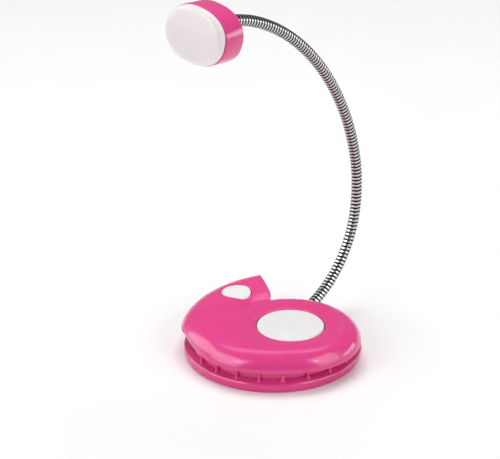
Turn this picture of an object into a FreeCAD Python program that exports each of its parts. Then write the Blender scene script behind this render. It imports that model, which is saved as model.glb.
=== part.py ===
"""Clip-on reading lamp: a sprung spiral-shell clip with a gooseneck and a small domed light head.

Millimetres, +Z up. The origin is the centre of the lower jaw's flat underside. The lamp's front
(the side that grips the pages) faces -Y.
"""
import FreeCAD
import Part
import math
import os

Vector = FreeCAD.Vector
UP = Vector(0, 0, 1)

# Lower jaw: a round saucer with a rim, a ledge and a ribbed wall round the front
DISH_FOOT_R = 35.7
DISH_RIM_R = 36.3
DISH_RIM_Z = 3.8
DISH_FLOOR = 1.6
WALL_OUTER_R = 32.9
WALL_THICK = 1.4
WALL_TOP_Z = 8.0
LEDGE_Z = 4.9
WALL_START = 198.0           # degrees from +X, running through the front (270)
WALL_SPAN = 167.0
CENTRE_RIB_ANGLE = 276.0
LEFT_RIBS = 4
LEFT_RIB_STEP = 15.6
RIGHT_RIBS = 3
RIGHT_RIB_STEP = 17.3
RIB_WIDTH = 0.9
CENTRE_RIB_WIDTH = 1.6
RIB_REACH = 2.4
RIB_SINK = 0.8               # how far a rib runs down into the ledge
NECK_SCOOP_R = 3.2           # room in the rim for the neck when the clip is open
NECK_SCOOP_Z = 6.6

# Clip hinge and its spring, behind the battery box
PIN_Y = 10.0
PIN_Z = 6.0
PIN_R = 1.25
PIN_CLEARANCE = 0.05
LUG_X = 5.6
EAR_X = 9.4
LUG_WIDTH = 2.6
KNUCKLE_R = 2.0
SPRING_AT = Vector(3.0, 15.3, 0)
SPRING_R = 2.6
SPRING_WIRE_R = 0.4
SPRING_TURNS = 5

# Upper case: a round whorl about WHORL with a spiral tail that ends in a blunt mouth
WHORL = Vector(7.0, -6.5, 0)
WHORL_R = 28.5
CASE_EDGE_Z = 8.5
SHELL_WALL = 1.6
WHORL_TOP_Z = 15.6
CAP_R = 13.6
CAP_TOP_Z = 15.0
CAP_THICK = 1.6
CAP_GAP = 0.25
TAIL_TOP_Z = 17.8
# Tail outline: degrees clockwise from the front about the whorl's centre, and radius
TAIL_EDGE = ((0, 28.4), (22, 31.0), (45, 35.2), (68, 39.1), (90, 42.6), (113, 45.6), (135, 47.7), (152, 49.2),
             (165, 50.4))
MOUTH_INNER = Vector(-0.8, 16.0, 0)
MOUTH_MIDDLE = Vector(-2.2, 29.0, 0)
TAIL_CORE_R = 17.0
COVER_Z = 8.9
COVER_THICK = 1.2
COVER_GAP = 0.4
PLATE_R = 25.3

# Coin cells in their round box under the cap
BOX_R = 12.0
BOX_WALL = 0.9
BOX_FLOOR_Z = 4.4
BOX_TOP_Z = 11.8
CELL_R = 10.0
CELL_THICK = 3.2
CELL_Z = 5.9
CELL_RIM = 0.3
CELL_LID_R = 8.2
CONTACT_THICK = 0.3
CONTACT_SLOT = 0.8
TONGUE_HALF = 2.4

# Screws that hold the shell to its cover, each in a post under the skin
SCREW_PLACES = (Vector(-24.0, 4.0, 0), Vector(7.0, -28.0, 0), Vector(28.0, -1.0, 0))
BOSS_TOPS = (16.6, 13.8, 13.8)
SCREW_SHANK_R = 0.9
SCREW_HEAD_R = 1.7
SCREW_TIP_Z = 12.0
BOSS_R = 2.0

# Button and switch on the tail
BUTTON_AT = Vector(-15.0, 18.0, 0)
BUTTON_LONG = 6.3
BUTTON_SHORT = 5.9
BUTTON_TURN = -35.0          # its long axis, in degrees from +X
BUTTON_TOP_Z = 18.4
BUTTON_THICK = 1.8
BUTTON_GAP = 0.35
BOARD_Z = 11.0
BOARD_LONG = 15.0
BOARD_WIDE = 11.0
BOARD_THICK = 1.0
SWITCH_WIDTH = 6.0
SWITCH_HIGH = 2.0
SWITCH_WELL_R = 1.8
PLUNGER_R = 1.5

# Gooseneck: an arc chain in one upright plane
NECK_START = Vector(15.0, 22.6, 8.2)
NECK_HEADING = 48.3          # degrees from +X of the neck's plane
NECK_RISE = 16.0             # degrees above level where it leaves the case
NECK_LENGTH = 194.0
NECK_TURNS = (33.5, 32.0, 21.0, 14.5, 12.5, 12.5, 14.5, 20.0)
NECK_R = 2.25
NECK_BORE_R = 1.55
LEAD_R = 1.0
JOINT_GAP = 0.8
SOCKET_R = 3.0
SOCKET_DEPTH = 4.0
SOCKET_FLOOR = 0.8           # the step at the socket's end that the winding rests on
SOCKET_GAP = 0.1             # between the socket and the case's opening for it
WAY_OUT = 12.0               # how far that opening runs along the neck
LEAD_ROOM = 0.2
FERRULE_DEPTH = 3.6
FIT = 0.06

# Head: an oval drum with a domed diffuser, tilted on the end of the neck
HEAD_HEADING = 54.5
HEAD_RISE = 6.7
HEAD_ROLL = -12.6
HEAD_LONG = 13.4
HEAD_SHORT = 10.8
HEAD_POWER = 2.25
HEAD_DEPTH = 10.8
HEAD_WALL = 1.2
HEAD_DROP = 3.0              # the neck enters this far above the middle of the back
DIFFUSER_RISE = 3.4
LED_PITCH = 6.0
CHIP_LONG = 3.0
CHIP_WIDE = 2.8
CHIP_HIGH = 0.8
LENS_R = 1.0
LENS_HIGH = 0.25


def export(name, shape):
    """Write one node as a STEP file."""
    shape.exportStep(os.path.join("parts", name + ".step"))


def polar(radius, degrees, centre=Vector(0, 0, 0), z=0.0):
    """A point at a radius and an angle from +X about a centre."""
    angle = math.radians(degrees)
    return Vector(centre.x + radius * math.cos(angle), centre.y + radius * math.sin(angle), z)


def disc(radius, z_low, z_high, centre=Vector(0, 0, 0)):
    return Part.makeCylinder(radius, z_high - z_low, Vector(centre.x, centre.y, z_low))


def block(centre, size_x, size_y, z_low, z_high):
    corner = Vector(centre.x - size_x / 2, centre.y - size_y / 2, z_low)
    return Part.makeBox(size_x, size_y, z_high - z_low, corner)


def revolved(points, centre=Vector(0, 0, 0), start=0.0, span=360.0):
    """Turn a closed (radius, z) outline about an upright axis."""
    corners = [polar(radius, start, centre, z) for radius, z in points]
    face = Part.Face(Part.makePolygon(corners + corners[:1]))
    return face.revolve(Vector(centre.x, centre.y, 0), UP, span)


def smooth_profile(points):
    """A smooth edge through (radius, z) points in the X-Z plane."""
    curve = Part.BSplineCurve()
    curve.interpolate([Vector(radius, 0, z) for radius, z in points])
    return curve.toShape()


# ---------------------------------------------------------------- lower jaw

def rib_angle(index):
    """Ribs are counted from the thick one at 0, leftwards below it and rightwards above it."""
    return CENTRE_RIB_ANGLE + index * (LEFT_RIB_STEP if index < 0 else RIGHT_RIB_STEP)


def rib(index):
    """One radial grip rib between the ledge and the top of the wall."""
    width = RIB_WIDTH if index else CENTRE_RIB_WIDTH
    bar = Part.makeBox(RIB_REACH, width, WALL_TOP_Z - LEDGE_Z + RIB_SINK)
    bar.translate(Vector(WALL_OUTER_R - 0.2, -width / 2, LEDGE_Z - RIB_SINK))
    bar.rotate(Vector(0, 0, 0), UP, rib_angle(index))
    return bar


def hinge_knuckle(x, z_low, z_high):
    """A hinge leaf standing at x with a round end about the pin's line, not yet bored."""
    leaf = block(Vector(x, PIN_Y, 0), LUG_WIDTH, 2 * KNUCKLE_R, z_low, z_high)
    start = Vector(x - LUG_WIDTH / 2, PIN_Y, PIN_Z)
    return leaf.fuse(Part.makeCylinder(KNUCKLE_R, LUG_WIDTH, start, Vector(1, 0, 0)))


def pin_bore(radius):
    start = Vector(WHORL.x - 2 * EAR_X, PIN_Y, PIN_Z)
    return Part.makeCylinder(radius, 4 * EAR_X, start, Vector(1, 0, 0))


def jaw_dish():
    inner_r = WALL_OUTER_R - WALL_THICK
    underside = [(0, 0), (DISH_FOOT_R - 0.6, 0), (DISH_FOOT_R, 0.4)]
    rim = [(DISH_RIM_R - 0.5, DISH_RIM_Z - 0.7), (DISH_RIM_R, DISH_RIM_Z - 0.2),
           (DISH_RIM_R - 0.3, DISH_RIM_Z)]
    inside = [(WALL_OUTER_R, LEDGE_Z), (inner_r, LEDGE_Z), (inner_r, DISH_FLOOR), (0, DISH_FLOOR)]
    saucer = revolved(underside + rim + inside)
    wall_low = LEDGE_Z - 0.5
    wall_outline = [(inner_r, wall_low), (WALL_OUTER_R, wall_low), (WALL_OUTER_R, WALL_TOP_Z),
                    (inner_r, WALL_TOP_Z)]
    wall = revolved(wall_outline, start=WALL_START, span=WALL_SPAN)
    pieces = [wall] + [rib(index) for index in range(-LEFT_RIBS, RIGHT_RIBS + 1)]
    for side in (-1, 1):
        pieces.append(hinge_knuckle(WHORL.x + side * EAR_X, DISH_FLOOR - 0.2, PIN_Z))
    seat = disc(SPRING_R - SPRING_WIRE_R - 0.5, DISH_FLOOR - 0.2, DISH_FLOOR + 1.4, SPRING_AT)
    pieces.append(seat)
    dish = saucer.multiFuse(pieces).removeSplitter().cut(pin_bore(PIN_R + 0.01))
    scoop_start = Vector(NECK_START.x, NECK_START.y, NECK_SCOOP_Z)
    return dish.cut(Part.makeCylinder(NECK_SCOOP_R, DISH_RIM_R, scoop_start, HEADING))


def hinge_pin():
    length = 2 * EAR_X + LUG_WIDTH + 1.2
    start = Vector(WHORL.x - length / 2, PIN_Y, PIN_Z)
    return Part.makeCylinder(PIN_R, length, start, Vector(1, 0, 0))


def clip_spring():
    low = DISH_FLOOR + SPRING_WIRE_R + 0.1
    high = COVER_Z - SPRING_WIRE_R - 0.1
    helix = Part.makeHelix((high - low) / SPRING_TURNS, high - low, SPRING_R)
    wire = Part.Wire(helix.Edges)
    section = Part.Wire(Part.makeCircle(SPRING_WIRE_R, Vector(SPRING_R, 0, 0), Vector(0, 1, 0)))
    spring = wire.makePipeShell([section], True, True)
    spring.translate(Vector(SPRING_AT.x, SPRING_AT.y, low))
    return spring


# ---------------------------------------------------------------- upper case

def tail_wire(inset, z, mouth_inset=0.0):
    """The tail's closed outline at one height, moved in by inset, and by mouth_inset at its mouth."""
    mouth_turn, mouth_radius = TAIL_EDGE[-1]
    shortened = TAIL_EDGE[:-1] + ((mouth_turn - math.degrees(mouth_inset / mouth_radius), mouth_radius),)
    edge_points = [polar(radius - inset, 270 - turn, WHORL, z) for turn, radius in shortened]
    edge = Part.BSplineCurve()
    edge.interpolate(edge_points)
    corner = edge_points[-1]
    middle = Vector(MOUTH_MIDDLE.x - 0.15 * inset - mouth_inset, MOUTH_MIDDLE.y, z)
    inner = Vector(MOUTH_INNER.x - mouth_inset, MOUTH_INNER.y, z)
    mouth = Part.Arc(corner, middle, inner)
    centre = Vector(WHORL.x, WHORL.y, z)
    return Part.Wire([edge.toShape(), mouth.toShape(), Part.makeLine(inner, centre),
                      Part.makeLine(centre, edge_points[0])])


def tail_solid(inset, z_low):
    """The tail as a stack of ever smaller outlines, with every wall moved inwards by inset."""
    levels = ((0.0, CASE_EDGE_Z), (0.4, CASE_EDGE_Z + 2.5), (1.9, TAIL_TOP_Z - 3.2), (4.6, TAIL_TOP_Z - 1.2),
              (8.6, TAIL_TOP_Z))
    heights = [z_low] + [z - inset for _, z in levels[1:]]
    wires = [tail_wire(inset + step, z, inset) for (step, _), z in zip(levels, heights)]
    solid = Part.makeLoft(wires, True, True)
    return solid.cut(disc(TAIL_CORE_R, 0, TAIL_TOP_Z + 1, WHORL))


def whorl_ring():
    """The round part of the shell, with the ledge that the cap rests on."""
    outer = smooth_profile([(14.6, CAP_TOP_Z + 0.1), (19.0, WHORL_TOP_Z), (23.4, 14.3), (26.9, 11.6),
                            (WHORL_R, CASE_EDGE_Z)])
    inner = smooth_profile([(WHORL_R - SHELL_WALL, CASE_EDGE_Z), (25.3, 11.0), (22.3, 13.0), (19.0, 13.9),
                            (15.6, 13.2)])
    cap_edge = CAP_R + CAP_GAP
    ledge = [(15.6, 13.2), (15.6, 12.2), (12.6, 12.2), (12.6, CAP_TOP_Z - CAP_THICK - 0.1),
             (cap_edge, CAP_TOP_Z - CAP_THICK - 0.1), (cap_edge, CAP_TOP_Z - 0.2), (14.6, CAP_TOP_Z + 0.1)]
    lip = Part.makeLine(Vector(WHORL_R, 0, CASE_EDGE_Z), Vector(WHORL_R - SHELL_WALL, 0, CASE_EDGE_Z))
    steps = [Part.makeLine(Vector(a[0], 0, a[1]), Vector(b[0], 0, b[1])) for a, b in zip(ledge, ledge[1:])]
    face = Part.Face(Part.Wire([outer, lip, inner] + steps))
    ring = face.revolve(Vector(0, 0, 0), UP, 360)
    ring.translate(WHORL)
    return ring


def egg(long, short, z_low, z_high):
    """An oval prism at the button's place, its long axis across the tail."""
    ellipse = Part.Ellipse(Vector(0, 0, 0), long, short)
    prism = Part.Face(Part.Wire(ellipse.toShape())).extrude(Vector(0, 0, z_high - z_low))
    prism.rotate(Vector(0, 0, 0), UP, BUTTON_TURN)
    prism.translate(Vector(BUTTON_AT.x, BUTTON_AT.y, z_low))
    return prism


def boss(place, top):
    """A screw post under the shell's skin."""
    post = disc(BOSS_R, COVER_Z + COVER_THICK + 0.05, top, place)
    return post.cut(disc(SCREW_SHANK_R + 0.02, COVER_Z, SCREW_TIP_Z + 0.1, place))


def neck_opening():
    """The round way through the case for the neck's socket and the neck."""
    return neck_rod(SOCKET_R + SOCKET_GAP, -SOCKET_DEPTH - 1, WAY_OUT)


def top_shell():
    hollow = tail_solid(SHELL_WALL, CASE_EDGE_Z - 1)
    tail = tail_solid(0, CASE_EDGE_Z).cut(hollow)
    bosses = [boss(place, top) for place, top in zip(SCREW_PLACES, BOSS_TOPS)]
    shell = whorl_ring().cut(hollow).fuse([tail] + bosses)
    shell = shell.cut(disc(PLATE_R + 0.15, CASE_EDGE_Z - 1, COVER_Z + COVER_THICK + 0.15, WHORL))
    window = egg(BUTTON_LONG + BUTTON_GAP, BUTTON_SHORT + BUTTON_GAP, BOARD_Z + 2, BUTTON_TOP_Z + 1)
    shell = shell.cut(window)
    return shell.cut(neck_opening())


def case_screws():
    screws = []
    for place in SCREW_PLACES:
        shank = disc(SCREW_SHANK_R, COVER_Z - 0.1, SCREW_TIP_Z, place)
        screws.append(shank.fuse(disc(SCREW_HEAD_R, COVER_Z - 0.8, COVER_Z - 0.02, place)))
    return Part.makeCompound(screws)


def under_cover():
    """The case's base plate, with the battery box and the hinge lugs hanging from it."""
    plate = disc(PLATE_R, COVER_Z, COVER_Z + COVER_THICK, WHORL)
    edge = SHELL_WALL + COVER_GAP
    tail_plate = Part.Face(tail_wire(edge + 0.8, COVER_Z, edge)).extrude(Vector(0, 0, COVER_THICK))
    cover = plate.fuse([tail_plate, disc(BOX_R, BOX_FLOOR_Z, BOX_TOP_Z, WHORL)])
    cover = cover.cut(disc(BOX_R - BOX_WALL, BOX_FLOOR_Z + 1.0, BOX_TOP_Z + 1, WHORL))
    for side in (-1, 1):
        cover = cover.fuse(hinge_knuckle(WHORL.x + side * LUG_X, PIN_Z, COVER_Z + 0.2))
    for place in SCREW_PLACES:
        cover = cover.cut(disc(SCREW_SHANK_R + 0.05, COVER_Z - 1, COVER_Z + 2, place))
    cover = cover.cut(pin_bore(PIN_R + PIN_CLEARANCE))
    return cover.cut(neck_opening()).removeSplitter()


def battery_cap():
    low = CAP_TOP_Z - CAP_THICK
    edge = 0.4
    return revolved([(0, low), (CAP_R, low), (CAP_R, CAP_TOP_Z - edge), (CAP_R - edge, CAP_TOP_Z),
                     (0, CAP_TOP_Z + 0.3)], WHORL)


def coin_cell(z_low):
    """A coin cell with a stepped can: the wide cup below and the narrower lid above."""
    top = z_low + CELL_THICK
    return revolved([(0, z_low), (CELL_R - CELL_RIM, z_low), (CELL_R, z_low + CELL_RIM), (CELL_R, top - 0.6),
                     (CELL_LID_R + 0.4, top - 0.4), (CELL_LID_R, top), (0, top)], WHORL)


def contact(z_low, radius):
    """A sprung metal strip: a disc with two slots, leaving a tongue."""
    plate = disc(radius, z_low, z_low + CONTACT_THICK, WHORL)
    for side in (-1, 1):
        slot_at = WHORL + Vector(side * TONGUE_HALF, -1, 0)
        slot = block(slot_at, CONTACT_SLOT, radius * 1.3, z_low - 1, z_low + 1)
        plate = plate.cut(slot)
    return plate


def circuit_board():
    board = block(BUTTON_AT, BOARD_LONG, BOARD_WIDE, BOARD_Z, BOARD_Z + BOARD_THICK)
    hole_at = BUTTON_AT + Vector(1.5 - BOARD_LONG / 2, BOARD_WIDE / 2 - 1.5, 0)
    return board.cut(disc(0.8, BOARD_Z - 1, BOARD_Z + 2, hole_at))


def switch_body():
    low = BOARD_Z + BOARD_THICK + 0.03
    can = block(BUTTON_AT, SWITCH_WIDTH, SWITCH_WIDTH, low, low + SWITCH_HIGH)
    return can.cut(disc(SWITCH_WELL_R, low + SWITCH_HIGH / 2, low + SWITCH_HIGH + 1, BUTTON_AT))


def power_button():
    low = BUTTON_TOP_Z - BUTTON_THICK
    return egg(BUTTON_LONG, BUTTON_SHORT, low, BUTTON_TOP_Z)


def switch_plunger():
    """The stem under the button, which presses the switch's dome."""
    stem_low = BOARD_Z + BOARD_THICK + SWITCH_HIGH
    return disc(PLUNGER_R, stem_low, BUTTON_TOP_Z - BUTTON_THICK - 0.02, BUTTON_AT)


# ---------------------------------------------------------------- gooseneck

HEADING = Vector(math.cos(math.radians(NECK_HEADING)), math.sin(math.radians(NECK_HEADING)), 0)
BEND_AXIS = HEADING.cross(UP)
SEGMENT = NECK_LENGTH / len(NECK_TURNS)


def neck_direction(angle):
    """The neck's tangent, at an angle in degrees above its level heading."""
    return HEADING * math.cos(math.radians(angle)) + UP * math.sin(math.radians(angle))


def neck_stations():
    """The joint places along the neck, each a point and a tangent angle."""
    point = NECK_START
    angle = NECK_RISE
    stations = [(point, angle)]
    for turn in NECK_TURNS:
        chord = SEGMENT * math.sin(math.radians(turn / 2)) / math.radians(turn / 2)
        point = point + neck_direction(angle + turn / 2) * chord
        angle = angle + turn
        stations.append((point, angle))
    return stations


def neck_rod(radius, start, end):
    """A straight rod on the neck's line where it leaves the case."""
    direction = neck_direction(NECK_RISE)
    return Part.makeCylinder(radius, end - start, NECK_START + direction * start, direction)


def neck_arc(index, outer, bore):
    """One bent length of the neck, short of its joints by half the gap at each end."""
    point, angle = neck_stations()[index]
    turn = NECK_TURNS[index]
    radius = SEGMENT / math.radians(turn)
    centre = point + neck_direction(angle + 90) * radius
    trim = turn * JOINT_GAP / 2 / SEGMENT
    face = Part.Face(Part.Wire(Part.makeCircle(outer, point, neck_direction(angle))))
    if bore:
        face = face.cut(Part.Face(Part.Wire(Part.makeCircle(bore, point, neck_direction(angle)))))
    face.rotate(centre, BEND_AXIS, trim)
    return face.revolve(centre, BEND_AXIS, turn - 2 * trim)


def neck_socket():
    tube = neck_rod(SOCKET_R, -SOCKET_DEPTH, -JOINT_GAP / 2)
    tube = tube.cut(neck_rod(NECK_R + FIT, -SOCKET_DEPTH + SOCKET_FLOOR, 1))
    return tube.cut(neck_rod(LEAD_R + LEAD_ROOM, -SOCKET_DEPTH - 1, 1))


def neck_root():
    """The end of the winding that is held in the socket."""
    tube = neck_rod(NECK_R, -SOCKET_DEPTH + SOCKET_FLOOR + 0.05, -JOINT_GAP / 2)
    return tube.cut(neck_rod(NECK_BORE_R, -SOCKET_DEPTH, 1))


# ---------------------------------------------------------------- head

def head_axes():
    """Long, short and facing directions of the head."""
    rise = math.radians(HEAD_RISE)
    heading = math.radians(HEAD_HEADING)
    facing = Vector(-math.cos(heading) * math.cos(rise), -math.sin(heading) * math.cos(rise), math.sin(rise))
    side = UP.cross(facing).normalize()
    upward = facing.cross(side)
    roll = math.radians(HEAD_ROLL)
    long_axis = side * math.cos(roll) + upward * math.sin(roll)
    return long_axis, facing.cross(long_axis), facing


def head_placement():
    """The head's own frame: X long, Y short, Z facing, with its origin at the middle of the back."""
    long_axis, short_axis, facing = head_axes()
    point, angle = neck_stations()[-1]
    back = point + neck_direction(angle) * 1.2 - short_axis * HEAD_DROP
    matrix = FreeCAD.Matrix(long_axis.x, short_axis.x, facing.x, back.x,
                            long_axis.y, short_axis.y, facing.y, back.y,
                            long_axis.z, short_axis.z, facing.z, back.z)
    return FreeCAD.Placement(matrix)


def oval(inset, z, count=28):
    """The head's rounded outline, moved inwards by inset."""
    points = []
    for step in range(count):
        angle = 2 * math.pi * step / count
        c, s = math.cos(angle), math.sin(angle)
        x = math.copysign(abs(c) ** (2 / HEAD_POWER), c) * (HEAD_LONG - inset)
        y = math.copysign(abs(s) ** (2 / HEAD_POWER), s) * (HEAD_SHORT - inset)
        points.append(Vector(x, y, z))
    curve = Part.BSplineCurve()
    curve.interpolate(points, PeriodicFlag=True)
    return Part.Wire(curve.toShape())


def oval_stack(levels):
    """A closed solid through ovals given as (inset, z)."""
    return Part.makeLoft([oval(inset, z) for inset, z in levels], True, True)


def placed(shape):
    shape.Placement = head_placement()
    return shape


def ferrule_rod(radius, start, end):
    point, angle = neck_stations()[-1]
    direction = neck_direction(angle)
    return Part.makeCylinder(radius, end - start, point + direction * start, direction)


def head_housing():
    body = oval_stack([(2.6, 0), (0.7, 0.7), (0.0, 2.4), (0.0, HEAD_DEPTH)])
    body = body.cut(oval_stack([(HEAD_WALL + 1.2, 1.4), (HEAD_WALL, 3.0), (HEAD_WALL, HEAD_DEPTH + 1)]))
    return placed(body).cut(ferrule_rod(SOCKET_R + 0.02, -2, FERRULE_DEPTH + 2))


def diffuser():
    low = HEAD_DEPTH + 0.15
    top = HEAD_DEPTH + DIFFUSER_RISE
    dome = oval_stack([(0.15, low), (0.2, low + 1.0), (0.8, low + 1.9), (2.2, top - 0.6), (5.2, top)])
    lip = oval_stack([(HEAD_WALL + 0.15, low - 1.4), (HEAD_WALL + 0.15, low + 0.2)])
    inside = oval_stack([(HEAD_WALL + 1.2, low - 2), (HEAD_WALL + 1.2, low + 0.8), (3.6, top - 1.6),
                         (6.0, top - 1.2)])
    return placed(dome.fuse(lip).cut(inside).removeSplitter())


def reflector():
    """A white tray that flares from the LED board to the diffuser."""
    low = HEAD_DEPTH - 5.1
    tray = oval_stack([(4.4, low), (HEAD_WALL + 0.3, low + 3.4)])
    tray = tray.cut(oval_stack([(5.2, low - 0.1), (HEAD_WALL + 0.9, low + 3.5)]))
    return placed(tray)


def led_board():
    low = HEAD_DEPTH - 6.4
    return placed(oval_stack([(HEAD_WALL + 0.4, low), (HEAD_WALL + 0.4, low + 1.2)]))


def leds():
    low = HEAD_DEPTH - 5.18
    chips = []
    for x in (-1, 0, 1):
        chip = block(Vector(x * LED_PITCH, 0, 0), CHIP_LONG, CHIP_WIDE, low, low + CHIP_HIGH)
        lens = Part.makeCylinder(LENS_R, LENS_HIGH, Vector(x * LED_PITCH, 0, low + CHIP_HIGH))
        chips.append(chip.fuse(lens))
    return placed(Part.makeCompound(chips))


def head_ferrule():
    """The collar that holds the neck's end in the back of the housing."""
    tube = ferrule_rod(SOCKET_R, JOINT_GAP / 2, FERRULE_DEPTH)
    tube = tube.cut(ferrule_rod(NECK_R + FIT, 0, FERRULE_DEPTH - 0.6))
    return tube.cut(ferrule_rod(LEAD_R + LEAD_ROOM, 0, FERRULE_DEPTH + 1))


def neck_tip():
    """The end of the winding that is held in the ferrule."""
    tube = ferrule_rod(NECK_R, JOINT_GAP / 2, FERRULE_DEPTH - 0.65)
    return tube.cut(ferrule_rod(NECK_BORE_R, 0, FERRULE_DEPTH))


def main():
    os.makedirs("parts", exist_ok=True)
    export("jaw_dish", jaw_dish())
    export("hinge_pin", hinge_pin())
    export("clip_spring", clip_spring())
    export("top_shell", top_shell())
    export("under_cover", under_cover())
    export("case_screws", case_screws())
    export("battery_cap", battery_cap())
    export("coin_cell_lower", coin_cell(CELL_Z))
    export("coin_cell_upper", coin_cell(CELL_Z + CELL_THICK + 0.02))
    export("contact_negative", contact(CELL_Z - 0.35, CELL_R - 1.0))
    export("contact_positive", contact(CELL_Z + 2 * CELL_THICK + 0.1, CELL_R - 3.0))
    export("circuit_board", circuit_board())
    export("switch_body", switch_body())
    export("switch_plunger", switch_plunger())
    export("power_button", power_button())
    export("neck_socket", neck_socket())
    export("neck_root_winding", neck_root())
    for index in range(len(NECK_TURNS)):
        export("neck_winding_%d" % (index + 1), neck_arc(index, NECK_R, NECK_BORE_R))
        export("neck_lead_%d" % (index + 1), neck_arc(index, LEAD_R, 0))
    export("neck_tip_winding", neck_tip())
    export("head_ferrule", head_ferrule())
    export("head_housing", head_housing())
    export("diffuser", diffuser())
    export("reflector", reflector())
    export("led_board", led_board())
    export("leds", leds())


main()
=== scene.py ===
"""Looks of the clip-on reading lamp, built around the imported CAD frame.

Lengths inside the shape functions are millimetres, in the CAD frame; mesh_piece() turns them into metres.
The lights and the camera are placed in metres. Angles are in degrees until they are used.
"""
import math

import bpy
import bmesh
import numpy as np
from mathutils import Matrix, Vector


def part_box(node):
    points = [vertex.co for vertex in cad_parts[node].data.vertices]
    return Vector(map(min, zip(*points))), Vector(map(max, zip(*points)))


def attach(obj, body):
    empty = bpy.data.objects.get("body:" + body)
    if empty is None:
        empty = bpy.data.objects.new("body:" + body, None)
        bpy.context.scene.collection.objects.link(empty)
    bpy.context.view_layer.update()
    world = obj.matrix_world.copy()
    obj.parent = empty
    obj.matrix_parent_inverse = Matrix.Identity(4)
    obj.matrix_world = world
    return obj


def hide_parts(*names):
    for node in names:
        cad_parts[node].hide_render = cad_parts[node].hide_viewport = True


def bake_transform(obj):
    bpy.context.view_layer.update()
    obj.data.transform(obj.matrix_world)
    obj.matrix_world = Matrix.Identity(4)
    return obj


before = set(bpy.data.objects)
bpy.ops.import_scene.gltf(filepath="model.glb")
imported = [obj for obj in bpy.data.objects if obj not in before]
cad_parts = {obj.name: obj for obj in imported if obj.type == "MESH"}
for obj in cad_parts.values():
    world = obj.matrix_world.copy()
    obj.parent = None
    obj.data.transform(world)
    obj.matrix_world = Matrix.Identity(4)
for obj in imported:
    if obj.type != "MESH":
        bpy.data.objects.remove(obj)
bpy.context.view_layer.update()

MM = 0.001
PER_METRE = 1000
TAU = 2 * math.pi

# Lower jaw
FOOT_R = 35.7
RIM_R = 36.3
RIM_Z = 3.8
FLOOR_Z = 1.6
WALL_R = 32.9
WALL_THICK = 1.4
WALL_TOP_Z = 8.0
LEDGE_Z = 4.9
WALL_START = 198.0
WALL_SPAN = 167.0
CENTRE_RIB_ANGLE = 276.0
LEFT_RIBS = 4
LEFT_RIB_STEP = 15.6
RIGHT_RIBS = 3
RIGHT_RIB_STEP = 17.3
RIB_REACH = 2.2
RIB_LEVELS = 15
FOOT_RECESS = 0.5
NECK_SCOOP_R = 3.2
NECK_SCOOP_Z = 6.6
PIN_Y = 10.0
PIN_Z = 6.0
EAR_X = 9.4
EAR_R = 2.0
EAR_HALF = 1.3
SPRING_AT = (3.0, 15.3)
SPRING_LOW = 2.1
SPRING_HIGH = 8.4
SPRING_R = 2.6
SPRING_WIRE_R = 0.4
SPRING_TURNS = 5

# Upper shell, about the whorl's centre
CAP_LOW, CAP_HIGH = (Vector(corner) * PER_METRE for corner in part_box("battery_cap"))
WHORL = ((CAP_LOW.x + CAP_HIGH.x) / 2, (CAP_LOW.y + CAP_HIGH.y) / 2)
WHORL_R = 28.5
WHORL_CREST_R = 19.5
WHORL_TOP_Z = 15.6
EDGE_Z = 8.5
CAP_HOLE_R = 13.95
CAP_R = 13.6
CAP_Z = 15.0
CAP_THICK = 1.6
KNOT_R = 23.7
MOUTH_TURN = 165.0
MOUTH_LEAN = 1.0
MOUTH_LEAN_R = (38.0, 48.0)
MOUTH_TOE = 3.0
MOUTH_TOE_R = (23.7, 28.0)
LEAN_START = 100
SHELL_WALL = 1.5
INNER_R = 14.2               # where the whorl's top starts, beside the cap
WHORL_DROP = 0.6
WHORL_SHOULDER = 2.3
CAP_SEAT_Z = 13.0
LOBE_POWER = 1.9
MOUTH_ROUND = 0.7
# What changes along the tail, by degrees clockwise from the front
TURNS = (0, 22, 45, 68, 88, 98, 113, 135, 152, 165)
EDGE_R = (28.5, 31.0, 35.2, 39.2, 42.8, 44.9, 46.7, 48.4, 49.6, 50.5)
CREST_R = (19.5, 20.2, 21.4, 23.2, 25.4, 26.8, 29.4, 33.4, 35.8, 37.5)
CREST_Z = (15.6, 15.6, 15.7, 15.9, 16.3, 16.6, 17.1, 17.6, 17.8, 17.8)
FLANK_R = (14.2, 14.2, 14.2, 14.2, 14.2, 14.6, 17.5, 23.0, 23.8, 23.7)
FLANK_DROP = (0.6, 0.6, 0.6, 0.8, 1.2, 1.4, 1.9, 2.55, 2.85, 2.9)
RING_TURNS = (90.0, 120.0)
RING_RISE = 1.3
CREASE_SOFT = 1.4            # how widely the ring and the tail blend where the crease starts
CREASE_SHARP = 0.3
CREASE_TURNS = (112.0, 145.0)
CREASE_FADE_R = (15.0, 19.0)
SHOULDER = (2.3, 2.5, 2.8, 3.0, 3.0, 2.9, 2.8, 2.6, 2.5, 2.5)
# The front lip is tucked in and low, and the tail's edge steps out and up from it
LIFTED_EDGE_Z = 10.4
LIFT_TURNS = (94.6, 96.4)
TUCK = 1.7
TUCK_TURNS = (50.0, 86.0)
TUCK_HEIGHTS = (8.8, 11.8)

BUTTON_LOW, BUTTON_HIGH = (Vector(corner) * PER_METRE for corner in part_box("power_button"))
BUTTON_BACK = 0.8            # its visible outline lies a little behind the middle of the CAD button
BUTTON_AT = ((BUTTON_LOW.x + BUTTON_HIGH.x) / 2, (BUTTON_LOW.y + BUTTON_HIGH.y) / 2 + BUTTON_BACK)
BUTTON_LONG = 6.1
BUTTON_SHORT = 5.6
BUTTON_TURN = -10.0
BUTTON_EGG = 0.07
BUTTON_FULLNESS = 0.9
BUTTON_GAP = 0.36
BUTTON_CROWN = 0.36
BUTTON_SKIRT = 1.3           # short enough to stay off the switch when pressed

RELIEF_BASE = 0.30
RELIEF_HALF = 0.2
RELIEF_RISE = 0.1

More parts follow.
